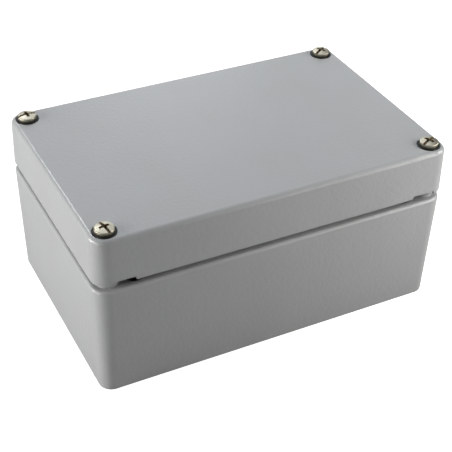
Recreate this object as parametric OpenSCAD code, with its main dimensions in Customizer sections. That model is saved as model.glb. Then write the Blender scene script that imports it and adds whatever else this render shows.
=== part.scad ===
// Die-cast aluminium enclosure with a lift-off lid: a deep base, a lid with its gasket, four lid
// screws on sealing washers, and four mounting screws in the bosses of the floor.
// Millimetres, +Z up. The origin is on the underside, below the centre. The long side runs along X.

/* [Box] */
// Length of the box at the seam
box_l = 160; // [150:1:220]
// Width of the box at the seam
box_w = 103.5; // [98:0.5:160]
// Height of the base, from its underside to the land of its rim
base_h = 52.6; // [46:0.2:90]
// Height of the lid, from its rim to its flat top
lid_h = 21.7; // [16:0.1:30]
// Open seam between the rim of the base and the rim of the lid
seam_gap = 2.3; // [1.8:0.1:2.8]

/* [Castings] */
// Radius of the four upright corners at the seam
corner_r = 7; // [6:0.5:9]
// Draft of the lid's outer walls, in degrees
lid_draft = 0.95; // [0:0.05:2]
// Draft of the base's outer walls, in degrees
base_draft = 1.5; // [0:0.05:2]
// Rounding of the lid's top edge
lid_edge_r = 2; // [1:0.1:3]
// Rounding of the lid's rim edge
lid_rim_r = 1.3; // [0.6:0.1:2]
// Rounding of the base's rim edge
base_rim_r = 1.5; // [0.6:0.1:2]
// Rounding of the base's bottom edge
base_foot_r = 1.1; // [0.6:0.1:2]
// Wall of the base at its rim
base_wall = 5.5; // [5:0.1:7]
// Floor of the base
floor_t = 4; // [3:0.1:6]
// Top plate of the lid
top_t = 3.5; // [2.5:0.1:5]
// Rounding of the cavity's corners
cavity_r = 5; // [3:0.5:7]

/* [Corner blocks] */
// Lid screw axis to the outer faces of the box, at the seam
screw_inset = 7.1; // [6.8:0.1:8]
// Reach of each corner block along X, from the end face
block_l = 25.5; // [25:0.1:28]
// Reach of each corner block along Y, from the long face
block_w = 14.8; // [14:0.1:17]
// Rounding of a block's inner corner
block_r = 6; // [5:0.5:8]
// Lid screw axis to wall fixing hole, along X
fixing_pitch = 10.9; // [10:0.1:11.2]
// Wall fixing hole
fixing_d = 4.5; // [4:0.1:5.5]
// Channel for the head of a wall screw
fixing_head_d = 8.4; // [7.5:0.1:8.8]
// Seat of a wall screw's head, above the underside
fixing_seat = 6; // [4:0.5:10]
// Pad on each block that stops the lid, round the lid screw
stop_pad_d = 8.8; // [8:0.1:9.6]
// Pillar of the lid round each lid screw
pillar_d = 9.6; // [9:0.1:11]
// Wall between the lid's long faces and its corner pockets
pocket_skin = 2.9; // [2.4:0.1:3.4]
// Web between the gasket groove and the corner pockets
pocket_web = 1.6; // [1.2:0.1:2.4]
// Rounding of the corner pockets
pocket_r = 1.5; // [0.8:0.1:2]
// Metal left above the corner pockets
pocket_top = 5; // [4:0.5:8]

/* [Seal] */
// Edge of the base's cavity to the centre of the tongue
tongue_back = 1.2; // [1:0.1:1.5]
// Width of the tongue on the base's rim
tongue_w = 1.6; // [1.2:0.1:2]
// Height of the tongue above the rim
tongue_h = 3.1; // [2.9:0.1:3.6]
// Width of the gasket groove in the lid's rim
groove_w = 3; // [2.6:0.1:3.4]
// Depth of the gasket groove
groove_d = 3; // [2.4:0.1:4]
// Lip of the lid inside the groove
lip_w = 1.7; // [1.4:0.1:2.2]
// Side clearance of the gasket in its groove
gasket_clear = 0.1; // [0.05:0.05:0.2]

/* [Pry slots] */
// End face to the near end of each pry slot
pry_inset = 5.5; // [4:0.5:7]
// Length of each pry slot at the rim
pry_l = 11.5; // [8:0.5:14]
// Height of each pry slot in the lid's rim
pry_h = 1.9; // [1.5:0.1:3]
// Depth of each pry slot into the long face
pry_d = 3.1; // [2:0.1:3.3]

/* [Screws] */
// Thread diameter of all screws
thread_d = 4; // [3.9:0.05:4.1]
// Diameter of the pan heads
head_d = 8; // [7.4:0.1:8.4]
// Height of the pan heads
head_h = 2.5; // [2.3:0.1:3.1]
// Straight side of the pan heads
head_side = 1.2; // [0.8:0.1:1.6]
// Length of the cross recess, tip to tip
cross_l = 4.8; // [4:0.1:5.4]
// Width of the cross and slot cuts
cross_w = 1.2; // [0.9:0.1:1.5]
// Depth of the cross recess
cross_depth = 1.7; // [1.3:0.1:1.9]
// Depth of the driver slot across the head
slot_depth = 1; // [0.8:0.1:1.2]
// Radial clearance of a thread in its tapped hole, sealing washer or ring
thread_clear = 0.05; // [0.02:0.01:0.1]
// Length of the lid screws under the head
lid_screw_l = 35; // [33:1:38]
// Radial clearance of the lid screws in the lid
lid_hole_clear = 0.3; // [0.2:0.05:0.5]
// Spare depth of a tapped hole below its screw
tip_room = 1.5; // [0.5:0.5:3]
// Chamfer at the tips of the screws
tip_chamfer = 0.6; // [0.2:0.1:1]

/* [Washers and rings] */
// Diameter of the sealing washers
seal_d = 9.4; // [9:0.1:10]
// Thickness of the sealing washers
seal_t = 0.8; // [0.6:0.1:1.5]
// Width of the spot face round a sealing washer
spot_margin = 0.3; // [0.2:0.1:0.6]
// Depth of the spot faces in the lid's top
spot_depth = 0.7; // [0.3:0.05:0.8]
// Diameter of the retaining rings
ring_d = 6.6; // [6.2:0.1:6.8]
// Thickness of the retaining rings
ring_t = 1.2; // [0.8:0.1:1.4]
// Clearance round and below a retaining ring in its pocket
ring_clear = 0.2; // [0.1:0.05:0.3]

/* [Mounting bosses] */
// End face of the box to the axis of the nearest bosses
boss_inset_l = 16; // [13:0.5:30]
// Long face of the box to the axis of the nearest bosses
boss_inset_w = 24.8; // [22:0.2:32]
// Height of the bosses above the floor
boss_h = 10; // [8:0.5:15]
// Diameter of the bosses at the top
boss_d = 9.4; // [9:0.1:10.4]
// Fillet round the foot of each boss
boss_fillet = 1.5; // [0.5:0.1:2.5]
// Length of the mounting screws under the head
mount_screw_l = 10; // [8:0.5:10]
// Diameter of the thread-cutting point of the mounting screws
point_d = 3.2; // [2.8:0.1:3.4]
// Length of the thread-cutting point
point_l = 3; // [2:0.5:4]
// Diameter of the spring washers
spring_d = 8.4; // [7.6:0.1:8.8]
// Thickness of the spring washers
spring_t = 1.1; // [0.8:0.1:1.3]
// Split in the spring washers
spring_split = 0.8; // [0.5:0.1:1.2]
// Radial clearance of the spring washers on the mounting screws
washer_clear = 0.15; // [0.05:0.05:0.3]

/* [Hidden] */

$fn = 48;
hull_fn = 32;
slice = 0.02;          // thickness of one slice of a hulled shell
arc_steps = 4;         // slices in a rounded edge
over = 1;              // how far a cut runs past a face
pry_slope = 0.8;       // slope of a pry slot's ends, over its height
split_tilt = 25;       // slant of a spring washer's split, in degrees

paint = [0.66, 0.68, 0.70];
stainless = [0.80, 0.78, 0.72];
black_rubber = [0.10, 0.10, 0.11];
grey_rubber = [0.22, 0.22, 0.23];
nylon = [0.88, 0.87, 0.82];
copper = [0.78, 0.42, 0.26];

// Corners: front left, front right, back left, back right, as [x side, y side]
FL = [-1, -1];
FR = [1, -1];
BL = [-1, 1];
BR = [1, 1];
CORNERS = [FL, FR, BL, BR];

// Levels of the seam
rim_z = base_h;
lid_z = base_h + seam_gap;
top_z = lid_z + lid_h;
tongue_z = rim_z + tongue_h;
groove_z = lid_z + groove_d;

tapped_d = thread_d + 2 * thread_clear;

// Lid screw axes, and what is stacked on the lid's top
screw_x = box_l / 2 - screw_inset;
screw_y = box_w / 2 - screw_inset;
spot_z = top_z - spot_depth;
head_z = spot_z + seal_t;
lid_tip_z = head_z - lid_screw_l;
fixing_x = screw_x - fixing_pitch;

// Mounting bosses, and what is stacked on them
boss_x = box_l / 2 - boss_inset_l;
boss_y = box_w / 2 - boss_inset_w;
boss_z = floor_t + boss_h;
mount_head_z = boss_z + spring_t;
mount_tip_z = mount_head_z - mount_screw_l;

// Cavity of the base: a long rectangle crossed by a wide one, so that a block stays at each corner
cavity_l = box_l - 2 * base_wall;
cavity_w = box_w - 2 * base_wall;
between_blocks_l = box_l - 2 * block_l;
between_blocks_w = box_w - 2 * block_w;

// A rectangle with round corners, centred
module round_rect(l, w, r) {
    square([l - 2 * r, w], center = true);
    square([l, w - 2 * r], center = true);
    for (c = CORNERS)
        translate([c[0] * (l / 2 - r), c[1] * (w / 2 - r)]) circle(r = r);
}

// The outline of the base's cavity, grown outwards by d on every side
module cavity_outline(d = 0) {
    inner_l = between_blocks_l + 2 * d;
    inner_w = between_blocks_w + 2 * d;
    r = cavity_r + d;
    k = block_r - d;
    round_rect(cavity_l + 2 * d, inner_w, r);
    round_rect(inner_l, cavity_w + 2 * d, r);
    for (c = CORNERS)
        translate([c[0] * inner_l / 2, c[1] * inner_w / 2])
            rotate(atan2(c[1], c[0]) - 45) difference() {
                translate([-over, -over]) square(k + over);
                translate([k, k]) circle(r = k);
            }
}

// A ring that follows the cavity's outline, centred on the line of the seal
module seal_ring(w) {
    difference() {
        cavity_outline(tongue_back + w / 2);
        cavity_outline(tongue_back - w / 2);
    }
}

// Slices of one rounded edge as [z, inset]: dir is 1 on a lower face and -1 on an upper one
function edge_slices(z, r, dir) = [
    for (i = [0:arc_steps]) let (a = 90 * i / arc_steps)
        [z + dir * r * (1 - cos(a)) - (dir < 0 ? slice : 0), r * (1 - sin(a))]
];

// Outer form of a casting: slices of the box, set in by the edge rounding and, away from the seam, the draft
module casting_form(slices, draft, seam_level) {
    hull()
        for (s = slices, c = CORNERS) {
            inset = s[1] + abs(s[0] - seam_level) * tan(draft);
            translate([c[0] * (box_l / 2 - corner_r), c[1] * (box_w / 2 - corner_r), s[0]])
                cylinder(h = slice, r = corner_r - inset, $fn = hull_fn);
        }
}

// Puts its children at a corner of a rectangle that reaches x and y from the centre
module at_corner(c, x, y, z) {
    translate([c[0] * x, c[1] * y, z]) children();
}

// A boss of the floor, with a fillet round its foot
module boss() {
    rotate_extrude() {
        translate([0, -over]) square([boss_d / 2, boss_h + over]);
        difference() {
            translate([0, -over]) square([boss_d / 2 + boss_fillet, boss_fillet + over]);
            translate([boss_d / 2 + boss_fillet, boss_fillet]) circle(r = boss_fillet);
        }
    }
}

module base() {
    color(paint)
    difference() {
        union() {
            difference() {
                casting_form(concat(edge_slices(0, base_foot_r, 1), edge_slices(rim_z, base_rim_r, -1)),
                             base_draft, rim_z);
                translate([0, 0, floor_t]) linear_extrude(base_h) cavity_outline();
            }
            translate([0, 0, rim_z - over]) linear_extrude(tongue_h + over) seal_ring(tongue_w);
            for (c = CORNERS) {
                at_corner(c, screw_x, screw_y, rim_z - over) cylinder(h = seam_gap + over, d = stop_pad_d);
                at_corner(c, boss_x, boss_y, floor_t) boss();
            }
        }
        for (c = CORNERS) {
            // tapped holes for the lid screws
            at_corner(c, screw_x, screw_y, lid_tip_z - tip_room)
                cylinder(h = lid_z - lid_tip_z + tip_room + over, d = tapped_d);
            // wall fixing holes, with channels that let the heads down to their seats
            at_corner(c, fixing_x, screw_y, -over)
                cylinder(h = fixing_seat + 2 * over, d = fixing_d);
            at_corner(c, fixing_x, screw_y, fixing_seat)
                cylinder(h = base_h, d = fixing_head_d);
            // tapped holes in the bosses
            at_corner(c, boss_x, boss_y, mount_tip_z - tip_room)
                cylinder(h = boss_z - mount_tip_z + tip_room + over, d = tapped_d);
        }
    }
}

// A pry slot: a low notch with slightly sloping ends, cut from the long face into the lid's rim
module pry_slot() {
    rotate([90, 0, 0])
        linear_extrude(2 * pry_d, center = true)
            polygon([[-over, -over], [0, 0], [pry_slope, pry_h],
                     [pry_l - pry_slope, pry_h], [pry_l, 0], [pry_l + over, -over]]);
}

// A pocket that hollows the lid's corner block, from its inner end up to the screw's pillar
module pocket_outline() {
    x0 = between_blocks_l / 2 + tongue_back + groove_w / 2 + pocket_web;
    y0 = between_blocks_w / 2 + tongue_back + groove_w / 2 + pocket_web;
    y1 = box_w / 2 - pocket_skin;
    difference() {
        translate([(x0 + screw_x) / 2, (y0 + y1) / 2]) round_rect(screw_x - x0, y1 - y0, pocket_r);
        translate([screw_x, screw_y]) circle(d = pillar_d);
    }
}

module lid() {
    color(paint)
    difference() {
        casting_form(concat(edge_slices(lid_z, lid_rim_r, 1), edge_slices(top_z, lid_edge_r, -1)),
                     lid_draft, lid_z);
        // cavity, inside the lip
        translate([0, 0, lid_z - over])
            linear_extrude(lid_h - top_t + over) cavity_outline(tongue_back - groove_w / 2 - lip_w);
        // gasket groove
        translate([0, 0, lid_z - over]) linear_extrude(groove_d + over) seal_ring(groove_w);
        for (c = CORNERS) {
            // screw holes, with a pocket below for the retaining ring and a spot face above
            at_corner(c, screw_x, screw_y, lid_z - over)
                cylinder(h = lid_h + 2 * over, d = thread_d + 2 * lid_hole_clear);
            at_corner(c, screw_x, screw_y, lid_z - over)
                cylinder(h = ring_t + ring_clear + over, d = ring_d + 2 * ring_clear);
            at_corner(c, screw_x, screw_y, spot_z)
                cylinder(h = spot_depth + over, d = seal_d + 2 * spot_margin);
            // pry slots in the long faces, and the pockets that they open into
            at_corner(c, box_l / 2 - pry_inset - pry_l / 2, box_w / 2, lid_z)
                translate([-pry_l / 2, 0, 0]) pry_slot();
            mirror([c[0] < 0 ? 1 : 0, 0, 0]) mirror([0, c[1] < 0 ? 1 : 0, 0])
                translate([0, 0, lid_z - over])
                    linear_extrude(lid_h - pocket_top + over) pocket_outline();
        }
    }
}

module lid_gasket() {
    color(grey_rubber)
    translate([0, 0, tongue_z])
        linear_extrude(groove_z - tongue_z) seal_ring(groove_w - 2 * gasket_clear);
}

// A pan head on z = 0: straight side, domed top, a cross recess and a slot along one of its arms
module pan_head() {
    rise = head_h - head_side;
    dome_r = (pow(head_d / 2, 2) + pow(rise, 2)) / (2 * rise);
    difference() {
        intersection() {
            cylinder(h = head_h, d = head_d);
            translate([0, 0, head_h - dome_r]) sphere(r = dome_r);
        }
        for (a = [0, 90])
            rotate(a) translate([-cross_l / 2, -cross_w / 2, head_h - cross_depth])
                cube([cross_l, cross_w, head_h]);
        translate([-head_d, -cross_w / 2, head_h - slot_depth]) cube([2 * head_d, cross_w, head_h]);
    }
}

// A shank below z = 0, with a chamfered tip
module shank(l, d) {
    translate([0, 0, tip_chamfer - l]) cylinder(h = l - tip_chamfer, d = d);
    translate([0, 0, -l]) cylinder(h = tip_chamfer, d1 = d - 2 * tip_chamfer, d2 = d);
}

// A flat ring on z = 0
module ring(outer_d, bore_d, t) {
    difference() {
        cylinder(h = t, d = outer_d);
        translate([0, 0, -over]) cylinder(h = t + 2 * over, d = bore_d);
    }
}

// Screws have the underside of their heads at the stated level, and are turned by an angle
module lid_screw(c, turn) {
    color(stainless) at_corner(c, screw_x, screw_y, head_z) {
        rotate(turn) pan_head();
        shank(lid_screw_l, thread_d);
    }
}

module seal_washer(c) {
    color(black_rubber) at_corner(c, screw_x, screw_y, spot_z) ring(seal_d, tapped_d, seal_t);
}

module retaining_ring(c) {
    color(nylon) at_corner(c, screw_x, screw_y, lid_z + ring_clear) ring(ring_d, tapped_d, ring_t);
}

// A mounting screw cuts its own thread with the narrow point at its tip
module mount_screw(c, turn) {
    color(copper) at_corner(c, boss_x, boss_y, mount_head_z) {
        rotate(turn) pan_head();
        shank(mount_screw_l - point_l, thread_d);
        shank(mount_screw_l, point_d);
    }
}

// A spring washer, pressed flat: a ring split by one slanting cut
module spring_washer(c, turn) {
    color(copper) at_corner(c, boss_x, boss_y, boss_z)
        difference() {
            ring(spring_d, thread_d + 2 * washer_clear, spring_t);
            rotate(turn) translate([0, 0, spring_t / 2]) rotate([split_tilt, 0, 0])
                translate([0, -spring_split / 2, -spring_t]) cube([spring_d, spring_split, 2 * spring_t]);
        }
}

base();
lid();
lid_gasket();
lid_screw(FL, 100);  // lid_screw_fl
lid_screw(FR, 22);  // lid_screw_fr
lid_screw(BL, 4);  // lid_screw_bl
lid_screw(BR, 30);  // lid_screw_br
seal_washer(FL);  // seal_washer_fl
seal_washer(FR);  // seal_washer_fr
seal_washer(BL);  // seal_washer_bl
seal_washer(BR);  // seal_washer_br
retaining_ring(FL);  // retaining_ring_fl
retaining_ring(FR);  // retaining_ring_fr
retaining_ring(BL);  // retaining_ring_bl
retaining_ring(BR);  // retaining_ring_br
mount_screw(FL, 35);  // mount_screw_fl
mount_screw(FR, 80);  // mount_screw_fr
mount_screw(BL, 10);  // mount_screw_bl
mount_screw(BR, 55);  // mount_screw_br
spring_washer(FL, 200);  // spring_washer_fl
spring_washer(FR, 310);  // spring_washer_fr
spring_washer(BL, 150);  // spring_washer_bl
spring_washer(BR, 265);  // spring_washer_br
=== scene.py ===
"""Looks of a die-cast aluminium enclosure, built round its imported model. Metres, +Z up."""

import math

import bmesh
import bpy
from mathutils import Matrix, Vector


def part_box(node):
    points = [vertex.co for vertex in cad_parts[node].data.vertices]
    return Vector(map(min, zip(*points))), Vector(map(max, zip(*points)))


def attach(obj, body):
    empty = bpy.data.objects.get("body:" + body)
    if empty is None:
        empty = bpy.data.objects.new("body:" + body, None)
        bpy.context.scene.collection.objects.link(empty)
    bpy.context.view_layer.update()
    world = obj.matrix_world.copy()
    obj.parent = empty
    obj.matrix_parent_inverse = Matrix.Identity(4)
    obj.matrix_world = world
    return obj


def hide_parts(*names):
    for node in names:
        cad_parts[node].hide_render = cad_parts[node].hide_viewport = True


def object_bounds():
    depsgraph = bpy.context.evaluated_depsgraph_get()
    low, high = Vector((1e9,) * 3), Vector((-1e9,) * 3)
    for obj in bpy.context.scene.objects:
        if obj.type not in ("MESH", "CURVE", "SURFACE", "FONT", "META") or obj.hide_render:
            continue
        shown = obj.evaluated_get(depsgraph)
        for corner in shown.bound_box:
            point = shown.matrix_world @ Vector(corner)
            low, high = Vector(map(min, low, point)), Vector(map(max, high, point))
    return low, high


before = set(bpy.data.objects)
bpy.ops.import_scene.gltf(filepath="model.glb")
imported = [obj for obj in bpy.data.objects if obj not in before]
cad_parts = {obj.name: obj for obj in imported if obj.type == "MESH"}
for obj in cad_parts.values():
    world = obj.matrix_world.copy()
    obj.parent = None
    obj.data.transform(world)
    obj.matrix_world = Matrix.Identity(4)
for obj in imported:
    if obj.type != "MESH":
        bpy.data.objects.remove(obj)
cad_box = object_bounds()
scene = bpy.context.scene

# ---------------------------------------------------------------------------------------------
# Studio: a table and surroundings that look white to the camera and light the box little, and
# soft lights, of which those on the left and near the right end act most. The camera looks down
# on the box from the left of its front.

mm = 0.001


def linear(hex_code):
    """An sRGB hex colour as linear red, green, blue and alpha."""
    parts = [int(hex_code[i:i + 2], 16) / 255 for i in (1, 3, 5)]
    return [*(p / 12.92 if p <= 0.04045 else ((p + 0.055) / 1.055) ** 2.4 for p in parts), 1.0]


def add(tree, kind, inputs=None, **settings):
    """Adds a node. Settings are its own properties; inputs are values or sockets, by name or number."""
    node = tree.nodes.new(kind)
    for name, value in settings.items():
        setattr(node, name, value)
    for name, value in (inputs or {}).items():
        if isinstance(value, bpy.types.NodeSocket):
            tree.links.new(value, node.inputs[name])
        else:
            node.inputs[name].default_value = value
    return node


def new_material(name):
    """An empty node material, with its output node."""
    material = bpy.data.materials.new(name)
    material.use_nodes = True
    material.node_tree.nodes.clear()
    return material, material.node_tree, add(material.node_tree, "ShaderNodeOutputMaterial")


def view_back(azimuth, elevation):
    """Direction from the object to a viewer at these angles, in degrees."""
    a, e = math.radians(azimuth), math.radians(elevation)
    return Vector((math.sin(a) * math.cos(e), -math.cos(a) * math.cos(e), math.sin(e)))


camera_aim = Vector((-1.85, -6.09, 31.52)) * mm
camera_back = view_back(-27.592, 36.198)
camera_distance = 496.0 * mm
camera_roll = math.radians(1.645)
camera_data = bpy.data.cameras.new("camera")
camera_data.sensor_width = 36.0
camera_data.lens = 89.06
camera_data.clip_start = 0.01
camera = bpy.data.objects.new("camera", camera_data)
camera.rotation_mode = "QUATERNION"
camera.rotation_quaternion = (-camera_back).to_track_quat("-Z", "Y") @ Matrix.Rotation(
    camera_roll, 3, "Z").to_quaternion()
camera.location = camera_aim + camera_distance * camera_back
scene.collection.objects.link(camera)
scene.camera = camera

scene.view_settings.view_transform = "Standard"
scene.view_settings.look = "None"

SURROUNDINGS_LIGHT = 0.03   # strength with which the surroundings light the box

world = bpy.data.worlds.new("surroundings")
world.use_nodes = True
world.node_tree.nodes.clear()
seen = add(world.node_tree, "ShaderNodeLightPath").outputs["Is Camera Ray"]
brightness = add(world.node_tree, "ShaderNodeMapRange",
                 {"Value": seen, "To Min": SURROUNDINGS_LIGHT, "To Max": 1.0})
surroundings = add(world.node_tree, "ShaderNodeBackground",
                   {"Color": linear("#FFFFFF"), "Strength": brightness.outputs[0]})
add(world.node_tree, "ShaderNodeOutputWorld", {"Surface": surroundings.outputs[0]})
scene.world = world


BOX_MIDDLE = Vector((0, 0, 40 * mm))


def soft_light(name, azimuth, elevation, distance, size, power, tint):
    """A square soft light that looks at the middle of the box."""
    data = bpy.data.lights.new(name, "AREA")
    data.shape = "SQUARE"
    data.size = size
    data.energy = power
    data.color = linear(tint)[:3]
    light = bpy.data.objects.new(name, data)
    away = view_back(azimuth, elevation)
    light.location = BOX_MIDDLE + distance * away
    light.rotation_euler = away.to_track_quat("Z", "Y").to_euler()
    scene.collection.objects.link(light)


soft_light("light_left_front", -78, 10, 0.45, 0.2, 0.68, "#FFFDFA")
soft_light("light_left", -100, 10, 0.45, 0.2, 1.98, "#FFFDFA")
soft_light("light_left_behind", -172, 44, 0.9, 0.12, 2.1, "#FAFCFF")
soft_light("light_behind_low", 150, 20, 0.9, 0.5, 1.08, "#FAFCFF")
soft_light("light_behind", 165, 25, 0.9, 0.4, 0.68, "#FAFCFF")
soft_light("light_behind_high", 150, 60, 0.9, 0.5, 1.58, "#FAFCFF")
soft_light("light_above", 0, 89, 0.9, 0.4, 1.25, "#F4F9FF")
soft_light("light_right_high", 45, 60, 0.9, 0.4, 0.35, "#FAFCFF")
soft_light("light_right", 60, 25, 0.35, 0.15, 0.84, "#FFFDF8")
soft_light("light_front_right", 42, 8, 0.3, 0.08, 0.185, "#FFFDF8")
soft_light("light_front_low", 26, 4, 0.33, 0.06, 0.069, "#FFFDF8")
soft_light("light_front", 22, 20, 0.33, 0.06, 0.049, "#FFFDF8")

TABLE_SIZE = 3.0
TABLE_DROP = 0.05 * mm      # keeps the top of the table clear of the underside

table_mesh = bpy.data.meshes.new("table")
table_bm = bmesh.new()
bmesh.ops.create_grid(table_bm, x_segments=1, y_segments=1, size=TABLE_SIZE)
table_bm.to_mesh(table_mesh)
table_bm.free()
table_top = bpy.data.objects.new("table", table_mesh)
table_top.location.z = cad_box[0].z - TABLE_DROP
scene.collection.objects.link(table_top)

# Background paper, matt: plain white to the camera, and grey to what stands on it.
table_paper, shader, output = new_material("white background paper")
paper = add(shader, "ShaderNodeBsdfDiffuse", {"Color": linear("#AAAAAA"), "Roughness": 0.6})
seen = add(shader, "ShaderNodeLightPath").outputs["Is Camera Ray"]
glow = add(shader, "ShaderNodeEmission", {"Color": linear("#FFFFFF"), "Strength": seen})
both = add(shader, "ShaderNodeAddShader", {0: paper.outputs[0], 1: glow.outputs[0]})
shader.links.new(both.outputs[0], output.inputs["Surface"])
table_mesh.materials.append(table_paper)

# ---------------------------------------------------------------------------------------------
# Base: one aluminium pressure casting. Its walls have draft, its edges are rounded, a block in
# each corner takes a lid screw and lets a wall screw through, and a tongue stands on its rim.

CORNER_R = 7.0 * mm
BASE_DRAFT = math.radians(1.5)
LID_DRAFT = math.radians(0.95)
LID_RIM_R = 1.3 * mm
BASE_RIM_R = 1.5 * mm
BASE_FOOT_R = 1.1 * mm
BASE_WALL = 5.5 * mm
FLOOR_T = 4.0 * mm
FLOOR_FILLET = 2.5 * mm
CAVITY_R = 5.0 * mm
BLOCK_L = 25.5 * mm
BLOCK_W = 14.8 * mm
BLOCK_R = 6.0 * mm
TONGUE_BACK = 1.2 * mm
TONGUE_W = 1.6 * mm
TONGUE_H = 3.1 * mm
STOP_PAD_R = 4.4 * mm
TAPPED_R = 2.05 * mm
FIXING_PITCH = 10.9 * mm
FIXING_R = 2.25 * mm
FIXING_HEAD_R = 4.2 * mm
FIXING_SEAT = 6.0 * mm
BOSS_H = 10.0 * mm
BOSS_R = 4.7 * mm
BOSS_FILLET = 1.5 * mm
TIP_ROOM = 1.5 * mm
BREAK_R = 0.4 * mm          # rounding that paint and trimming leave on the other edges
PAST = 1.0 * mm             # how far a cut runs past a face
SHARP = math.radians(38)    # two faces that meet at more than this make a sharp edge

base_low, base_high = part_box("base")
lid_low, lid_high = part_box("lid")
half_l = lid_high.x + LID_RIM_R * math.tan(LID_DRAFT)
half_w = lid_high.y + LID_RIM_R * math.tan(LID_DRAFT)
rim_z = base_high.z - TONGUE_H
CORNERS = {"fl": (-1, -1), "fr": (1, -1), "bl": (-1, 1), "br": (1, 1)}


def middle(node):
    """The middle of a node's box in plan."""
    low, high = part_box(node)
    return (low.x + high.x) / 2, (low.y + high.y) / 2


def arc(x, y, radius, start, sweep, steps):
    """Points of an arc round (x, y), from the angle start through the angle sweep, in degrees."""
    angles = [math.radians(start + sweep * i / steps) for i in range(steps + 1)]
    return [(x + radius * math.cos(a), y + radius * math.sin(a)) for a in angles]


def four_quarters(quarter):
    """Repeats the points of the first quarter round an outline that is alike in all four."""
    back = quarter[::-1]
    return ([(x, y) for x, y in quarter] + [(-x, y) for x, y in back]
            + [(-x, -y) for x, y in quarter] + [(x, -y) for x, y in back])


def box_outline(inset):
    """The outline of the box at the seam, set in on every side."""
    r = CORNER_R - inset
    return four_quarters(arc(half_l - CORNER_R, half_w - CORNER_R, r, 0, 90, 14))


def cavity_outline(grow=0.0):
    """The outline of the cavity, which runs round the corner blocks, grown on every side."""
    long_x, long_y = half_l - BASE_WALL + grow, half_w - BLOCK_W + grow
    wide_x, wide_y = half_l - BLOCK_L + grow, half_w - BASE_WALL + grow
    r, k = CAVITY_R + grow, BLOCK_R - grow
    return four_quarters(arc(long_x - r, long_y - r, r, 0, 90, 10)
                         + arc(wide_x + k, long_y + k, k, 270, -90, 12)
                         + arc(wide_x - r, wide_y - r, r, 0, 90, 10))


def new_object(name, bm):
    """A mesh object at the origin from a bmesh, with doubles merged and its faces turned outwards."""
    bmesh.ops.remove_doubles(bm, verts=bm.verts, dist=0.0005 * mm)
    bmesh.ops.recalc_face_normals(bm, faces=bm.faces)
    mesh = bpy.data.meshes.new(name)
    bm.to_mesh(mesh)
    bm.free()
    made = bpy.data.objects.new(name, mesh)
    scene.collection.objects.link(made)
    return made


def loft(name, levels, cyclic=False):
    """A solid through outlines with equal counts of points, given as (outline, z)."""
    bm = bmesh.new()
    rings = [[bm.verts.new((x, y, z)) for x, y in outline] for outline, z in levels]
    pairs = list(zip(rings, rings[1:])) + ([(rings[-1], rings[0])] if cyclic else [])
    for lower, upper in pairs:
        for i in range(len(lower)):
            bm.faces.new((lower[i - 1], lower[i], upper[i], upper[i - 1]))
    if not cyclic:
        bm.faces.new(rings[0][::-1])
        bm.faces.new(rings[-1])
    return new_object(name, bm)


def turned(name, profile, x=0.0, y=0.0, segments=48):
    """A solid of revolution round an upright axis, from (radius, z) points that end on the axis."""
    bm = bmesh.new()
    turns = [(math.cos(2 * math.pi * i / segments), math.sin(2 * math.pi * i / segments))
             for i in range(segments)]
    rings = [[bm.verts.new((x + r * c, y + r * s, z)) for c, s in turns] for r, z in profile]
    for lower, upper in zip(rings, rings[1:]):
        for i in range(segments):
            bm.faces.new((lower[i - 1], lower[i], upper[i], upper[i - 1]))
    return new_object(name, bm)


def settle(thing):
    """Turns what an object's modifiers make into its own plain mesh."""
    bpy.context.view_layer.update()
    evaluated = thing.evaluated_get(bpy.context.evaluated_depsgraph_get())
    thing.data = bpy.data.meshes.new_from_object(evaluated)
    thing.modifiers.clear()
    thing.data.name = thing.name
    for slot in reversed(range(len(thing.data.materials))):
        if thing.data.materials[slot] is None:
            thing.data.materials.pop(index=slot)
    return thing


def carve(body, tool, operation="DIFFERENCE"):
    """Cuts one solid out of another, or joins it on, and removes it."""
    change = body.modifiers.new("carve", "BOOLEAN")
    change.object, change.operation, change.solver = tool, operation, "MANIFOLD"
    settle(body)
    bpy.data.objects.remove(tool)


def finish_casting(casting):
    """Smooth shading with flat faces that stay flat, and sharp lines only where edges are sharp."""
    casting.data.shade_smooth()
    casting.data.set_sharp_from_angle(angle=SHARP)
    weighting = casting.modifiers.new("flat faces first", "WEIGHTED_NORMAL")
    weighting.keep_sharp = True
    weighting.weight = 100
    settle(casting)


def shell_levels(z0, r0, z1, r1, seam_z, draft):
    """Levels of a casting's outside, with rounded lower and upper edges and draft away from the seam."""
    lower = [(z0 + r0 - y, r0 - x) for x, y in arc(0, 0, r0, 90, -90, 7)]
    upper = [(z1 - r1 + y, r1 - x) for x, y in arc(0, 0, r1, 0, 90, 7)]
    return [(box_outline(inset + abs(z - seam_z) * math.tan(draft)), z) for z, inset in lower + upper]


def hole(x, y, low, high, radius):
    """A tool for a round hole down from high, with its mouth broken by a small rounding."""
    lip = [(radius + BREAK_R - dx, high - BREAK_R + dy) for dx, dy in arc(0, 0, BREAK_R, 0, 90, 4)]
    above = [(radius + BREAK_R, high + PAST), (0, high + PAST)]
    return turned("hole", [(0, low), (radius, low)] + lip + above, x, y, 40)


base = loft("base_casting",
            shell_levels(base_low.z, BASE_FOOT_R, rim_z, BASE_RIM_R, rim_z, BASE_DRAFT))

tongue_in, tongue_out = TONGUE_BACK - TONGUE_W / 2, TONGUE_BACK + TONGUE_W / 2
cavity_foot = [(FLOOR_T + FLOOR_FILLET - y, x - FLOOR_FILLET)
               for x, y in arc(0, 0, FLOOR_FILLET, 90, -90, 6)]
cavity_mouth = [(rim_z - BREAK_R + y, BREAK_R - x) for x, y in arc(0, 0, BREAK_R, 0, 90, 3)]
cavity_tool = loft("cavity", [(cavity_outline(grow), z) for z, grow in cavity_foot + cavity_mouth[:-1]]
                   + [(cavity_outline(tongue_in), rim_z), (cavity_outline(tongue_in), rim_z + PAST)])
carve(base, cavity_tool)

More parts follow.
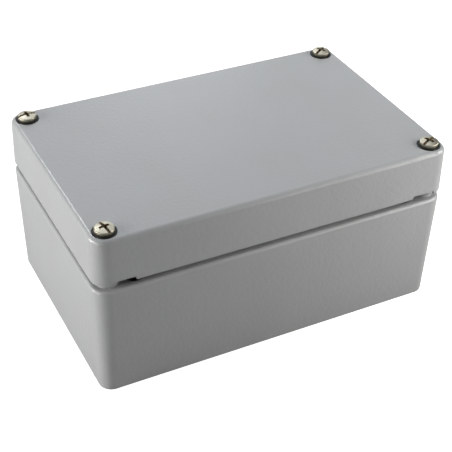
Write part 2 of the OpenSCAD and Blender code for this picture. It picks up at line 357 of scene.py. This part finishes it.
tongue_section = (
    [(tongue_in, rim_z - PAST)]
    + [(tongue_in + BREAK_R - x, base_high.z - BREAK_R + y)
       for x, y in arc(0, 0, BREAK_R, 0, 90, 3)]
    + [(tongue_out - BREAK_R + x, base_high.z - BREAK_R + y)
       for x, y in arc(0, 0, BREAK_R, 90, -90, 3)]
    + [(tongue_out + BREAK_R + x, rim_z + BREAK_R + y) for x, y in arc(0, 0, BREAK_R, 180, 90, 3)]
    + [(tongue_out + BREAK_R, rim_z - PAST)])
tongue = loft("tongue", [(cavity_outline(grow), z) for grow, z in tongue_section], cyclic=True)
carve(base, tongue, "UNION")

for side in CORNERS:
    x, y = middle("lid_screw_" + side)
    edge = [(STOP_PAD_R - BREAK_R + dx, lid_low.z - BREAK_R + dy)
            for dx, dy in arc(0, 0, BREAK_R, 0, 90, 3)]
    carve(base, turned("stop_pad", [(0, rim_z - PAST), (STOP_PAD_R, rim_z - PAST)] + edge
                       + [(0, lid_low.z)], x, y), "UNION")
    boss_x, boss_y = middle("mount_screw_" + side)
    boss_z = FLOOR_T + BOSS_H
    foot = [(BOSS_R + BOSS_FILLET + dx, FLOOR_T + BOSS_FILLET + dy)
            for dx, dy in arc(0, 0, BOSS_FILLET, 270, -90, 5)]
    top = [(BOSS_R - BREAK_R + dx, boss_z - BREAK_R + dy)
           for dx, dy in arc(0, 0, BREAK_R, 0, 90, 3)]
    carve(base, turned("boss", [(0, FLOOR_T - PAST), (BOSS_R + BOSS_FILLET, FLOOR_T - PAST)]
                       + foot + top + [(0, boss_z)], boss_x, boss_y), "UNION")
    carve(base, hole(x, y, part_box("lid_screw_" + side)[0].z - TIP_ROOM, lid_low.z, TAPPED_R))
    carve(base, hole(boss_x, boss_y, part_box("mount_screw_" + side)[0].z - TIP_ROOM, boss_z,
                     TAPPED_R))
    fixing_x = x - math.copysign(FIXING_PITCH, x)
    carve(base, hole(fixing_x, y, FIXING_SEAT, rim_z, FIXING_HEAD_R))
    carve(base, hole(fixing_x, y, -PAST, FIXING_SEAT, FIXING_R))

# Polyester powder coat, light grey, sprayed on and stoved: satin, with broad soft highlights,
# faint clouds of tone and an orange peel. The peel is drawn coarser and deeper than a real
# one, so that it shows from where the whole box is in view.
powder_coat, shader, output = new_material("grey polyester powder coat")
place = add(shader, "ShaderNodeTexCoord").outputs["Object"]
peel = add(shader, "ShaderNodeTexNoise", {"Vector": place, "Scale": 1 / (1.7 * mm), "Detail": 3.0})
peel_bump = add(shader, "ShaderNodeBump",
                {"Height": peel.outputs["Fac"], "Strength": 1.0, "Distance": 0.14 * mm})
cloud = add(shader, "ShaderNodeTexNoise", {"Vector": place, "Scale": 1 / (35 * mm), "Detail": 2.0})
tone = add(shader, "ShaderNodeValToRGB", {"Fac": cloud.outputs["Fac"]})
tone.color_ramp.elements[0].position, tone.color_ramp.elements[0].color = 0.35, linear("#959798")
tone.color_ramp.elements[1].position, tone.color_ramp.elements[1].color = 0.65, linear("#97999B")
coat = add(shader, "ShaderNodeBsdfPrincipled",
           {"Base Color": tone.outputs["Color"], "Roughness": 0.3, "IOR": 1.5,
            "Normal": peel_bump.outputs["Normal"]})
shader.links.new(coat.outputs[0], output.inputs["Surface"])

base.data.materials.append(powder_coat)
finish_casting(base)
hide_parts("base")
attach(base, "base")

# ---------------------------------------------------------------------------------------------
# Lid: the second casting. It has a flat top with spot faces for the washers, a groove for the
# gasket, hollow corner blocks, and notches in its long sides where a driver pries it off.

LID_EDGE_R = 2.0 * mm
TOP_T = 3.5 * mm
GROOVE_W = 3.0 * mm
GROOVE_D = 3.0 * mm
LIP_W = 1.7 * mm
SCREW_HOLE_R = 2.3 * mm
RING_POCKET_R = 3.5 * mm
RING_POCKET_D = 1.4 * mm
SPOT_R = 5.0 * mm
SPOT_BREAK_R = 0.15 * mm    # rounding of a spot face's edge
PILLAR_R = 4.8 * mm
POCKET_SKIN = 2.9 * mm
POCKET_WEB = 1.6 * mm
POCKET_R = 1.5 * mm
POCKET_TOP = 5.0 * mm
PRY_INSET = 5.5 * mm
PRY_L = 11.5 * mm
PRY_H = 1.9 * mm
PRY_D = 3.1 * mm
PRY_SLOPE = 0.8 * mm
PRY_MOUTH = 0.05 * mm       # straight part of a pry slot's mouth, at the outer face

spot_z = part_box("seal_washer_fl")[0].z
lid = loft("lid_casting",
           shell_levels(lid_low.z, LID_RIM_R, lid_high.z, LID_EDGE_R, lid_low.z, LID_DRAFT))

lip = TONGUE_BACK - GROOVE_W / 2 - LIP_W
ceiling_z = lid_high.z - TOP_T
lid_mouth = [(lid_low.z + BREAK_R - y, lip + BREAK_R - x)
             for x, y in arc(0, 0, BREAK_R, 90, -90, 3)]
lid_ceiling = [(ceiling_z - FLOOR_FILLET + y, lip + x - FLOOR_FILLET)
               for x, y in arc(0, 0, FLOOR_FILLET, 0, 90, 6)]
carve(lid, loft("lid_cavity", [(cavity_outline(lip + BREAK_R), lid_low.z - PAST)]
                + [(cavity_outline(grow), z) for z, grow in lid_mouth + lid_ceiling]))

groove_in, groove_out = TONGUE_BACK - GROOVE_W / 2, TONGUE_BACK + GROOVE_W / 2
groove_z = lid_low.z + GROOVE_D
groove_section = (
    [(groove_in - BREAK_R, lid_low.z - PAST)]
    + [(groove_in - BREAK_R + x, lid_low.z + BREAK_R + y)
       for x, y in arc(0, 0, BREAK_R, -90, 90, 3)]
    + [(groove_in, groove_z), (groove_out, groove_z)]
    + [(groove_out + BREAK_R + x, lid_low.z + BREAK_R + y)
       for x, y in arc(0, 0, BREAK_R, 180, 90, 3)]
    + [(groove_out + BREAK_R, lid_low.z - PAST)])
carve(lid, loft("groove", [(cavity_outline(grow), z) for grow, z in groove_section], cyclic=True))


def pocket_tool(sx, sy, screw_x, screw_y):
    """A tool for the pocket in one corner block, between its inner end and the screw's pillar."""
    x0 = half_l - BLOCK_L + groove_out + POCKET_WEB
    y0 = half_w - BLOCK_W + groove_out + POCKET_WEB
    y1 = half_w - POCKET_SKIN
    r = POCKET_R
    x1 = abs(screw_x)
    outline = (arc(x1 - r, y1 - r, r, 0, 90, 4) + arc(x0 + r, y1 - r, r, 90, 90, 4)
               + arc(x0 + r, y0 + r, r, 180, 90, 4) + arc(x1 - r, y0 + r, r, 270, 90, 4))
    tool = loft("pocket", [([(sx * x, sy * y) for x, y in outline], z)
                           for z in (lid_low.z - PAST, lid_high.z - POCKET_TOP)])
    pillar = [(0, -PAST), (PILLAR_R, -PAST), (PILLAR_R, lid_high.z), (0, lid_high.z)]
    carve(tool, turned("pillar", pillar, screw_x, screw_y))
    return tool


def pry_tool(sx, sy):
    """A tool for one pry slot: sloping ends, and a mouth that flares a little at the outer face."""
    near = half_l - PRY_INSET
    mouth = half_w - BREAK_R - PRY_MOUTH
    levels = [(half_w - PRY_D, 0.0), (mouth, 0.0)]
    levels += [(mouth + y, BREAK_R - x) for x, y in arc(0, 0, BREAK_R, 0, 90, 4)[1:]]
    levels += [(half_w + PAST, BREAK_R)]
    bm = bmesh.new()
    rings = []
    for y, flare in levels:
        section = [(near + flare + PAST, -PAST), (near + flare, 0),
                   (near + flare - PRY_SLOPE, PRY_H + flare),
                   (near - flare - PRY_L + PRY_SLOPE, PRY_H + flare), (near - flare - PRY_L, 0),
                   (near - flare - PRY_L - PAST, -PAST)]
        rings.append([bm.verts.new((sx * x, sy * y, lid_low.z + z)) for x, z in section])
    for inner, outer in zip(rings, rings[1:]):
        for i in range(len(inner)):
            bm.faces.new((inner[i - 1], inner[i], outer[i], outer[i - 1]))
    bm.faces.new(rings[0])
    bm.faces.new(rings[-1])
    return new_object("pry_slot", bm)


for side, (sx, sy) in CORNERS.items():
    x, y = middle("lid_screw_" + side)
    carve(lid, pocket_tool(sx, sy, x, y))
    carve(lid, pry_tool(sx, sy))
    carve(lid, turned("screw_hole", [(0, 0), (SCREW_HOLE_R, 0), (SCREW_HOLE_R, lid_high.z + PAST),
                                     (0, lid_high.z + PAST)], x, y))
    pocket_z = lid_low.z + RING_POCKET_D
    carve(lid, turned("ring_pocket", [(0, 0), (RING_POCKET_R, 0), (RING_POCKET_R, pocket_z),
                                      (0, pocket_z)], x, y))
    edge = [(SPOT_R + SPOT_BREAK_R - dx, lid_high.z - SPOT_BREAK_R + dy)
            for dx, dy in arc(0, 0, SPOT_BREAK_R, 0, 90, 3)]
    carve(lid, turned("spot_face", [(0, spot_z), (SPOT_R, spot_z)] + edge
                      + [(SPOT_R + SPOT_BREAK_R, lid_high.z + PAST), (0, lid_high.z + PAST)],
                      x, y, 64))

lid.data.materials.append(powder_coat)
finish_casting(lid)
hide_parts("lid")
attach(lid, "lid")

# ---------------------------------------------------------------------------------------------
# Gasket: a closed cord of black chloroprene rubber, pressed into the groove of the lid. It
# follows the groove round the corner blocks, and the tongue of the base bears on it.

GASKET_CLEAR = 0.1 * mm
GASKET_ROUND = 0.5 * mm


def new_tree(name, inputs):
    """A Geometry Nodes tree with geometry in and out and the named inputs, as (kind, name)."""
    made = bpy.data.node_groups.new(name, "GeometryNodeTree")
    made.interface.new_socket("Geometry", in_out="INPUT", socket_type="NodeSocketGeometry")
    for kind, label in inputs:
        made.interface.new_socket(label, in_out="INPUT", socket_type="NodeSocket" + kind)
    made.interface.new_socket("Geometry", in_out="OUTPUT", socket_type="NodeSocketGeometry")
    return made, add(made, "NodeGroupInput").outputs


def math_node(operation, *values):
    """The result of one Math node of the tree being made."""
    return add(tree, "ShaderNodeMath", dict(enumerate(values)), operation=operation).outputs[0]


def end_tree(tree, geometry, material, spared=None):
    """Ends a tree: instances made real, smooth faces, and the material, except over a spared one."""
    real = add(tree, "GeometryNodeRealizeInstances", {"Geometry": geometry})
    smooth = add(tree, "GeometryNodeSetShadeSmooth", {"Geometry": real.outputs[0]})
    inputs = {"Geometry": smooth.outputs[0], "Material": material}
    if spared is not None:
        under = add(tree, "GeometryNodeMaterialSelection", {"Material": spared}).outputs[0]
        inputs["Selection"] = add(tree, "FunctionNodeBooleanMath", {0: under},
                                  operation="NOT").outputs[0]
    painted = add(tree, "GeometryNodeSetMaterial", inputs)
    add(tree, "NodeGroupOutput", {0: painted.outputs[0]})


def at_points(tree, points, instance):
    """One instance on every point, turned by the point's own turn about the upright axis."""
    turn = add(tree, "GeometryNodeInputNamedAttribute", {"Name": "turn"}, data_type="FLOAT")
    rotation = add(tree, "FunctionNodeAxisAngleToRotation",
                   {"Axis": (0, 0, 1), "Angle": turn.outputs[0]})
    return add(tree, "GeometryNodeInstanceOnPoints",
               {"Points": points, "Instance": instance, "Rotation": rotation.outputs[0]}).outputs[0]


def wire_section(tree, width, height, rounding, count):
    """The outline of a rectangular section with rounded corners."""
    section = add(tree, "GeometryNodeCurvePrimitiveQuadrilateral", {"Width": width, "Height": height})
    return add(tree, "GeometryNodeFilletCurve",
               {"Curve": section.outputs[0], "Count": count, "Radius": rounding},
               mode="POLY").outputs[0]


def grown(name, points, tree, values, edges=(), turns=None):
    """The plain mesh that a tree makes from points or a line of edges, with its named inputs set."""
    mesh = bpy.data.meshes.new(name)
    mesh.from_pydata(points, edges, [])
    if turns:
        turn = mesh.attributes.new("turn", "FLOAT", "POINT")
        turn.data.foreach_set("value", [math.radians(t) for t in turns])
    made = bpy.data.objects.new(name, mesh)
    scene.collection.objects.link(made)
    modifier = made.modifiers.new("grown", "NODES")
    modifier.node_group = tree
    for item in tree.interface.items_tree:
        if item.in_out == "INPUT" and item.name in values:
            modifier[item.identifier] = values[item.name]
    settle(made)
    made.data.set_sharp_from_angle(angle=SHARP)
    return made


gasket_low, gasket_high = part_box("lid_gasket")
tree, given = new_tree("cord along a groove", [
    ("Float", "Width"), ("Float", "Height"), ("Float", "Edge Rounding"), ("Material", "Material")])
line = add(tree, "GeometryNodeMeshToCurve", {"Mesh": given["Geometry"]}).outputs[0]
route = add(tree, "GeometryNodeSetCurveNormal", {"Curve": line}, mode="Z_UP")
section = wire_section(tree, given["Width"], given["Height"], given["Edge Rounding"], 3)
section = add(tree, "GeometryNodeResampleCurve", {"Curve": section, "Count": 48})
cord = add(tree, "GeometryNodeCurveToMesh",
           {"Curve": route.outputs[0], "Profile Curve": section.outputs[0]})
end_tree(tree, cord.outputs[0], given["Material"])

# Cellular chloroprene rubber: a dull charcoal black that gives no clear highlight, with the
# open cells of its cut skin. The cells are drawn coarser than real.
chloroprene, shader, output = new_material("black cellular chloroprene rubber")
place = add(shader, "ShaderNodeTexCoord").outputs["Object"]
cells = add(shader, "ShaderNodeTexVoronoi", {"Vector": place, "Scale": 1 / (0.35 * mm)})
cell_bump = add(shader, "ShaderNodeBump",
                {"Height": cells.outputs["Distance"], "Strength": 0.6, "Distance": 0.02 * mm})
rubber = add(shader, "ShaderNodeBsdfPrincipled",
             {"Base Color": linear("#26272A"), "Roughness": 0.72, "IOR": 1.52,
              "Normal": cell_bump.outputs["Normal"]})
shader.links.new(rubber.outputs[0], output.inputs["Surface"])

seal_line = cavity_outline(TONGUE_BACK)
gasket_z = (gasket_low.z + gasket_high.z) / 2
gasket = grown("gasket_cord", [(x, y, gasket_z) for x, y in seal_line], tree,
               {"Width": GROOVE_W - 2 * GASKET_CLEAR, "Height": gasket_high.z - gasket_low.z,
                "Edge Rounding": GASKET_ROUND, "Material": chloroprene},
               edges=[(i - 1, i) if i else (len(seal_line) - 1, 0) for i in range(len(seal_line))])
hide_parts("lid_gasket")
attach(gasket, "lid")

# ---------------------------------------------------------------------------------------------
# Sealing washers: punched from black rubber, one under each lid screw. The screw has pressed
# each of them flat, which has rounded its edge.

SEAL_ROUND = 0.35 * mm

tree, given = new_tree("rings at their places", [
    ("Float", "Outer Diameter"), ("Float", "Bore"), ("Float", "Thickness"),
    ("Float", "Edge Rounding"), ("Material", "Material")])
outer_r = math_node("MULTIPLY", given["Outer Diameter"], 0.5)
bore_r = math_node("MULTIPLY", given["Bore"], 0.5)
mean_r = math_node("MULTIPLY", math_node("ADD", outer_r, bore_r), 0.5)
width = math_node("SUBTRACT", outer_r, bore_r)
loop = add(tree, "GeometryNodeCurvePrimitiveCircle", {"Resolution": 64, "Radius": mean_r})
section = wire_section(tree, width, given["Thickness"], given["Edge Rounding"], 4)
ring = add(tree, "GeometryNodeCurveToMesh", {"Curve": loop.outputs[0], "Profile Curve": section})
rings = add(tree, "GeometryNodeInstanceOnPoints",
            {"Points": given["Geometry"], "Instance": ring.outputs[0]})
end_tree(tree, rings.outputs[0], given["Material"])
ring_tree = tree

# Washer rubber: nearly black and matt, so that a washer reads as a dark ring round the bright
# head, with a trace of dust.
rubber_black, shader, output = new_material("black EPDM washer rubber")
place = add(shader, "ShaderNodeTexCoord").outputs["Object"]
dust = add(shader, "ShaderNodeTexNoise", {"Vector": place, "Scale": 1 / (0.6 * mm), "Detail": 3.0})
dust_tone = add(shader, "ShaderNodeValToRGB", {"Fac": dust.outputs["Fac"]})
dust_tone.color_ramp.elements[0].color = linear("#060706")
dust_tone.color_ramp.elements[1].color = linear("#101110")
skin = add(shader, "ShaderNodeBsdfPrincipled",
           {"Base Color": dust_tone.outputs["Color"], "Roughness": 0.6, "IOR": 1.4})
shader.links.new(skin.outputs[0], output.inputs["Surface"])


def places(kind, z):
    """The four places of one kind of piece, at a level."""
    return [(*middle(kind + "_" + side), z) for side in CORNERS]


seal_low, seal_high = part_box("seal_washer_fl")
seals = grown("sealing_washers", places("seal_washer", (seal_low.z + seal_high.z) / 2), ring_tree,
              {"Outer Diameter": seal_high.x - seal_low.x, "Bore": 2 * TAPPED_R,
               "Thickness": seal_high.z - seal_low.z, "Edge Rounding": SEAL_ROUND,
               "Material": rubber_black})
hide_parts(*("seal_washer_" + side for side in CORNERS))
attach(seals, "lid")

# ---------------------------------------------------------------------------------------------
# Lid screws: M4 pan heads of stainless steel with rolled threads. Each head has a cross recess
# and a slot along one arm of it, painted a dull dark brown as their shade, and each stands at its own
# turn.

HEAD_R = 4.0 * mm
HEAD_SIDE = 1.5 * mm
HEAD_BREAK = 0.1 * mm       # how much narrower a head is at its lower edge
SHOULDER_R = 0.8 * mm
CROSS_W = 1.45 * mm
CROSS_L = 5.0 * mm
CROSS_DEPTH = 1.7 * mm
CROSS_TAPER = 0.55          # length of the cross at its floor, as a share of that at its top
SLOT_W = 1.2 * mm
SLOT_DEPTH = 1.0 * mm
SLOT_TAPER = 0.98
PIT_R = 1.05 * mm
PIT_TIP_R = 0.3 * mm
PIT_DEPTH = 2.2 * mm
THREAD_R = 2.0 * mm
THREAD_PITCH = 0.7 * mm
THREAD_DEPTH = 0.38 * mm
THREAD_ROOT, THREAD_CREST = 0.06, 0.44      # where the root ends and the crest begins, in pitches
ROWS_PER_PITCH = 10.0
TIP_CHAMFER = 0.6 * mm

# Painted shade: a dull dark brown on the faces of the recess, so that it reads as dark lines in the
# bright head.
recess_shade, shader, output = new_material("old grease in a recess")
recess_shade_surface = add(shader, "ShaderNodeBsdfPrincipled",
           {"Base Color": linear("#5E4A2C"), "Roughness": 0.6, "IOR": 1.45})
shader.links.new(recess_shade_surface.outputs[0], output.inputs["Surface"])


def recess_arm(name, length, width, foot, top_z, bottom_z, tilt):
    """A tool for one cut across a head, with sides that close in to the share foot at its floor."""
    bm = bmesh.new()
    for z, share in ((bottom_z, foot), (top_z, 1.0)):
        for sx, sy in ((-1, -1), (1, -1), (1, 1), (-1, 1)):
            bm.verts.new((sx * length / 2 * share, sy * width / 2 * (share + 1) / 2, z))
    bm.verts.ensure_lookup_table()
    for corners in ((0, 1, 2, 3), (4, 5, 6, 7), (0, 1, 5, 4), (1, 2, 6, 5), (2, 3, 7, 6),
                    (3, 0, 4, 7)):
        bm.faces.new([bm.verts[i] for i in corners])
    bmesh.ops.rotate(bm, verts=bm.verts, matrix=Matrix.Rotation(tilt, 3, "Z"))
    tool = new_object(name, bm)
    # the faces this tool cuts take the painted shade of the recess
    tool.data.materials.append(recess_shade)
    return tool


def pan_head(name, head_r, head_h, metal):
    """A pan head with its underside on z = 0: low dome, round shoulder, cross recess and slot."""
    rise = head_h - HEAD_SIDE
    crown_r = head_r - SHOULDER_R
    dome_r = (crown_r ** 2 + (rise - SHOULDER_R / 2) ** 2) / (2 * (rise - SHOULDER_R / 2))
    dome = [(crown_r * i / 10, head_h - dome_r + math.sqrt(dome_r ** 2 - (crown_r * i / 10) ** 2))
            for i in range(11)]
    edge_z = dome[-1][1]
    fall = edge_z - HEAD_SIDE
    lean = math.asin(crown_r / dome_r)
    side = [(crown_r + SHOULDER_R * (math.sin(a) - math.sin(lean)) / (1 - math.sin(lean)),
             HEAD_SIDE + fall * math.cos(a) / math.cos(lean))
            for a in (lean + (math.pi / 2 - lean) * i / 8 for i in range(1, 9))]
    lower_edge = [(0, 0), (head_r - BREAK_R, 0), (head_r - HEAD_BREAK, BREAK_R)]
    head = turned(name, lower_edge + side[::-1] + dome[::-1])
    head.data.materials.append(metal)
    for turn in (0, 90):
        carve(head, recess_arm("cross", CROSS_L, CROSS_W, CROSS_TAPER, head_h + PAST * 0.2,
                               head_h - CROSS_DEPTH, math.radians(turn)))
    carve(head, recess_arm("slot", 4 * head_r, SLOT_W, SLOT_TAPER, head_h + PAST,
                           head_h - SLOT_DEPTH, 0.0))
    pit = turned("pit", [(0, head_h - PIT_DEPTH), (PIT_TIP_R, head_h - PIT_DEPTH),
                         (PIT_R, head_h - SLOT_DEPTH), (PIT_R, head_h + PAST), (0, head_h + PAST)],
                 segments=24)
    # the pit is painted with the same shade
    pit.data.materials.append(recess_shade)
    carve(head, pit)
    return head


tree, given = new_tree("screws in their holes", [
    ("Object", "Head"), ("Float", "Thread Diameter"), ("Float", "Pitch"),
    ("Float", "Thread Depth"), ("Float", "Length"), ("Float", "Point Diameter"),
    ("Float", "Point Length"), ("Float", "Tip Chamfer"), ("Material", "Metal"),
    ("Material", "Recess")])
rows = math_node("MULTIPLY", math_node("DIVIDE", given["Length"], given["Pitch"]), ROWS_PER_PITCH)
shank = add(tree, "GeometryNodeMeshCylinder",
            {"Vertices": 28, "Side Segments": rows, "Radius": 1.0, "Depth": given["Length"]})
lowered = add(tree, "ShaderNodeCombineXYZ", {"Z": math_node("MULTIPLY", given["Length"], -0.5)})
shank = add(tree, "GeometryNodeTransform",
            {"Geometry": shank.outputs["Mesh"], "Translation": lowered.outputs[0]})
position = add(tree, "GeometryNodeInputPosition").outputs[0]
spot = add(tree, "ShaderNodeSeparateXYZ", {0: position}).outputs
# the helix: height in pitches less the share of a turn, folded into a ridge and trimmed flat
share_of_turn = math_node("DIVIDE", math_node("ARCTAN2", spot["Y"], spot["X"]), 2 * math.pi)
in_pitches = math_node("DIVIDE", spot["Z"], given["Pitch"])
fold = math_node("PINGPONG", math_node("SUBTRACT", in_pitches, share_of_turn), 0.5)
ridge = add(tree, "ShaderNodeMapRange",
            {"Value": fold, "From Min": THREAD_ROOT, "From Max": THREAD_CREST, "To Min": 1.0,
             "To Max": 0.0}).outputs[0]
thread_r = math_node("SUBTRACT", math_node("MULTIPLY", given["Thread Diameter"], 0.5),
                     math_node("MULTIPLY", ridge, given["Thread Depth"]))
from_tip = math_node("ADD", spot["Z"], given["Length"])
point_r = math_node("MULTIPLY", given["Point Diameter"], 0.5)
past_point = math_node("MAXIMUM", math_node("SUBTRACT", from_tip, given["Point Length"]), 0.0)
point_limit = math_node("ADD", point_r, past_point)
tip_limit = math_node("ADD", math_node("SUBTRACT", point_r, given["Tip Chamfer"]), from_tip)
radius = math_node("MINIMUM", thread_r, math_node("MINIMUM", point_limit, tip_limit))
threaded = add(tree, "ShaderNodeCombineXYZ",
               {"X": math_node("MULTIPLY", spot["X"], radius),
                "Y": math_node("MULTIPLY", spot["Y"], radius), "Z": spot["Z"]})
shank = add(tree, "GeometryNodeSetPosition",
            {"Geometry": shank.outputs[0], "Position": threaded.outputs[0]})
head = add(tree, "GeometryNodeObjectInfo", {"Object": given["Head"]})
screw = add(tree, "GeometryNodeJoinGeometry")
for part in (shank.outputs[0], head.outputs["Geometry"]):
    tree.links.new(part, screw.inputs[0])
end_tree(tree, at_points(tree, given["Geometry"], screw.outputs[0]), given["Metal"],
         given["Recess"])
screw_tree = tree

# Stainless steel, cold headed: a warm grey metal, hazed by its forming and by handling, so
# that it mirrors the lights as soft patches. The haze is drawn coarser than real.
stainless, shader, output = new_material("A2 stainless steel, cold headed")
place = add(shader, "ShaderNodeTexCoord").outputs["Object"]
haze = add(shader, "ShaderNodeTexNoise", {"Vector": place, "Scale": 1 / (0.9 * mm), "Detail": 4.0})
rough = add(shader, "ShaderNodeMapRange", {"Value": haze.outputs["Fac"], "To Min": 0.4, "To Max": 0.52})
fine = add(shader, "ShaderNodeBump",
           {"Height": haze.outputs["Fac"], "Strength": 0.5, "Distance": 0.02 * mm})
steel = add(shader, "ShaderNodeBsdfPrincipled",
            {"Base Color": linear("#AEAA9B"), "Metallic": 1.0, "Roughness": rough.outputs[0],
             "Normal": fine.outputs["Normal"]})
shader.links.new(steel.outputs[0], output.inputs["Surface"])

head_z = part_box("seal_washer_fl")[1].z
lid_screw_low, lid_screw_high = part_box("lid_screw_fl")
lid_head = pan_head("lid_screw_head", HEAD_R, lid_screw_high.z - head_z, stainless)
for side, turn in (("fl", 100), ("fr", 22), ("bl", 4), ("br", 30)):
    under_head = (*middle("lid_screw_" + side), head_z)
    lid_screw = grown("lid_screw_steel_" + side, [under_head], screw_tree, {
        "Head": lid_head, "Thread Diameter": 2 * THREAD_R, "Pitch": THREAD_PITCH,
        "Thread Depth": THREAD_DEPTH, "Length": head_z - lid_screw_low.z,
        "Point Diameter": 2 * THREAD_R, "Point Length": 0.0, "Tip Chamfer": TIP_CHAMFER,
        "Metal": stainless, "Recess": recess_shade}, turns=[turn])
    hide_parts("lid_screw_" + side)
    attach(lid_screw, "lid_screw_" + side)

# ---------------------------------------------------------------------------------------------
# Retaining rings: turned from natural nylon and pushed up each lid screw into a pocket in the
# lid's rim, so that the loosened screws stay with the lid.

KEEPER_ROUND = 0.2 * mm

# Natural nylon: milky off-white, with soft edges where light passes into it, and faint marks
# of the turning tool.
nylon, shader, output = new_material("natural nylon")
place = add(shader, "ShaderNodeTexCoord").outputs["Object"]
turning = add(shader, "ShaderNodeTexNoise", {"Vector": place, "Scale": 1 / (0.5 * mm), "Detail": 2.0})
turning_bump = add(shader, "ShaderNodeBump",
                   {"Height": turning.outputs["Fac"], "Strength": 0.4, "Distance": 0.02 * mm})
plastic = add(shader, "ShaderNodeBsdfPrincipled", {
    "Base Color": linear("#E4E0D3"), "Roughness": 0.4, "IOR": 1.53, "Subsurface Weight": 0.2,
    "Subsurface Scale": 1.0 * mm, "Normal": turning_bump.outputs["Normal"]})
shader.links.new(plastic.outputs[0], output.inputs["Surface"])

keeper_low, keeper_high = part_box("retaining_ring_fl")
keepers = grown("retaining_rings_nylon",
                places("retaining_ring", (keeper_low.z + keeper_high.z) / 2), ring_tree,
                {"Outer Diameter": keeper_high.x - keeper_low.x, "Bore": 2 * TAPPED_R,
                 "Thickness": keeper_high.z - keeper_low.z, "Edge Rounding": KEEPER_ROUND,
                 "Material": nylon})
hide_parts(*("retaining_ring_" + side for side in CORNERS))
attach(keepers, "lid")

# ---------------------------------------------------------------------------------------------
# Mounting screws: copper-plated steel with the same combined recess and a smooth point that
# cuts its thread in the boss. They wait in the bosses of the floor, on split spring washers.

POINT_D = 3.2 * mm
POINT_L = 3.0 * mm

# Copper plate: a reddish metal with soft highlights, darker and browner where it has tarnished.
copper, shader, output = new_material("copper plate on steel")
place = add(shader, "ShaderNodeTexCoord").outputs["Object"]
tarnish = add(shader, "ShaderNodeTexNoise", {"Vector": place, "Scale": 1 / (1.5 * mm), "Detail": 3.0})
tarnish_tone = add(shader, "ShaderNodeValToRGB", {"Fac": tarnish.outputs["Fac"]})
tarnish_tone.color_ramp.elements[0].position, tarnish_tone.color_ramp.elements[1].position = 0.35, 0.7
tarnish_tone.color_ramp.elements[0].color = linear("#B8683F")
tarnish_tone.color_ramp.elements[1].color = linear("#E3A07C")
tarnish_rough = add(shader, "ShaderNodeMapRange",
                    {"Value": tarnish.outputs["Fac"], "To Min": 0.3, "To Max": 0.45})
plate = add(shader, "ShaderNodeBsdfPrincipled",
            {"Base Color": tarnish_tone.outputs["Color"], "Metallic": 1.0,
             "Roughness": tarnish_rough.outputs[0]})
shader.links.new(plate.outputs[0], output.inputs["Surface"])

mount_head_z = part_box("spring_washer_fl")[1].z
mount_low, mount_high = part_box("mount_screw_fl")
mount_head = pan_head("mount_screw_head", HEAD_R, mount_high.z - mount_head_z, copper)
mount_screws = grown("mount_screws_copper", places("mount_screw", mount_head_z), screw_tree, {
    "Head": mount_head, "Thread Diameter": 2 * THREAD_R, "Pitch": THREAD_PITCH,
    "Thread Depth": THREAD_DEPTH, "Length": mount_head_z - mount_low.z, "Point Diameter": POINT_D,
    "Point Length": POINT_L, "Tip Chamfer": TIP_CHAMFER, "Metal": copper, "Recess": recess_shade},
    turns=[35, 80, 10, 55])
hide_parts(*("mount_screw_" + side for side in CORNERS))
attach(mount_screws, "base")
for used in (lid_head, mount_head):
    bpy.data.objects.remove(used)

# ---------------------------------------------------------------------------------------------
# Spring washers: one turn of square copper-plated wire under each mounting screw, cut through
# on a slant and pressed flat.

SPRING_BORE_R = 2.15 * mm
SPRING_GAP = 0.8 * mm
SPRING_SLANT = math.radians(25)
SPRING_ROUND = 0.12 * mm

tree, given = new_tree("split washers at their places", [
    ("Float", "Mean Radius"), ("Float", "Width"), ("Float", "Thickness"), ("Float", "Gap"),
    ("Float", "Slant"), ("Float", "Edge Rounding"), ("Material", "Material")])
gap_angle = math_node("DIVIDE", given["Gap"], given["Mean Radius"])
coil = add(tree, "GeometryNodeCurveArc", {
    "Resolution": 48, "Radius": given["Mean Radius"],
    "Start Angle": math_node("MULTIPLY", gap_angle, 0.5),
    "Sweep Angle": math_node("SUBTRACT", 2 * math.pi, gap_angle)}, mode="RADIUS")
section = wire_section(tree, given["Width"], given["Thickness"], given["Edge Rounding"], 3)
wire = add(tree, "GeometryNodeCurveToMesh",
           {"Curve": coil.outputs[0], "Profile Curve": section, "Fill Caps": True})
position = add(tree, "GeometryNodeInputPosition").outputs[0]
height = add(tree, "ShaderNodeSeparateXYZ", {0: position}).outputs["Z"]
offset = math_node("MULTIPLY", height, math_node("TANGENT", given["Slant"]))
lean = math_node("DIVIDE", offset, given["Mean Radius"])
leaned = add(tree, "ShaderNodeVectorRotate",
             {"Vector": position, "Axis": (0, 0, 1), "Angle": lean})
wire = add(tree, "GeometryNodeSetPosition",
           {"Geometry": wire.outputs[0], "Position": leaned.outputs[0]})
end_tree(tree, at_points(tree, given["Geometry"], wire.outputs[0]), given["Material"])

spring_low, spring_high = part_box("spring_washer_fl")
spring_r = (spring_high.x - spring_low.x) / 2
spring_z = (spring_low.z + spring_high.z) / 2
springs = grown("spring_washers_copper", places("spring_washer", spring_z), tree, {
    "Mean Radius": (spring_r + SPRING_BORE_R) / 2, "Width": spring_r - SPRING_BORE_R,
    "Thickness": spring_high.z - spring_low.z, "Gap": SPRING_GAP, "Slant": SPRING_SLANT,
    "Edge Rounding": SPRING_ROUND, "Material": copper}, turns=[200, 310, 150, 265])
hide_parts(*("spring_washer_" + side for side in CORNERS))
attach(springs, "base")
